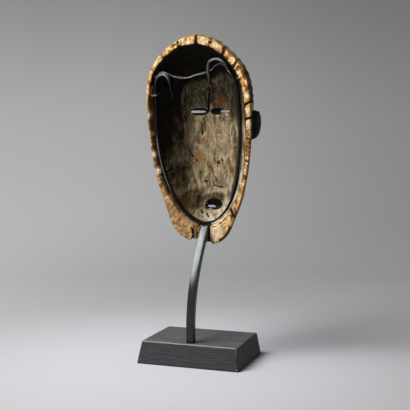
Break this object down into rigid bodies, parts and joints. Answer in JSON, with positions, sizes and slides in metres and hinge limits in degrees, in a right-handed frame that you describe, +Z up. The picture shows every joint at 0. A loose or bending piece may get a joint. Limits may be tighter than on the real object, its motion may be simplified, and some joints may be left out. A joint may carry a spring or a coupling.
{
  "type": "dance mask",
  "caption": "Carved wooden face mask with a deep hollow back, hung by a wire on a looped steel cradle with a curved stem and a low wooden base.",
  "frame": {"origin": "middle of the underside of the base, which is what the object stands on", "axes": "+Z up, -Y the way the face looks, +X towards the mask's own left side as its wearer feels it"},
  "size_m": [0.1974, 0.1711, 0.5341],
  "materials": {
    "black_wood": "thin black paint over open grain, worn at the edges",
    "black_steel": "satin black paint",
    "carved_wood": "raw weathered wood inside and on the rim, dark worn patina outside",
    "grey_wire": "dull grey soft wire"
  },
  "bodies": {
    "root": {"base": "black_wood", "stem": "black_steel", "cradle": "black_steel", "mask": "carved_wood", "hanging_wire": "grey_wire", "side_tie": "grey_wire"}
  },
  "joints": []
}
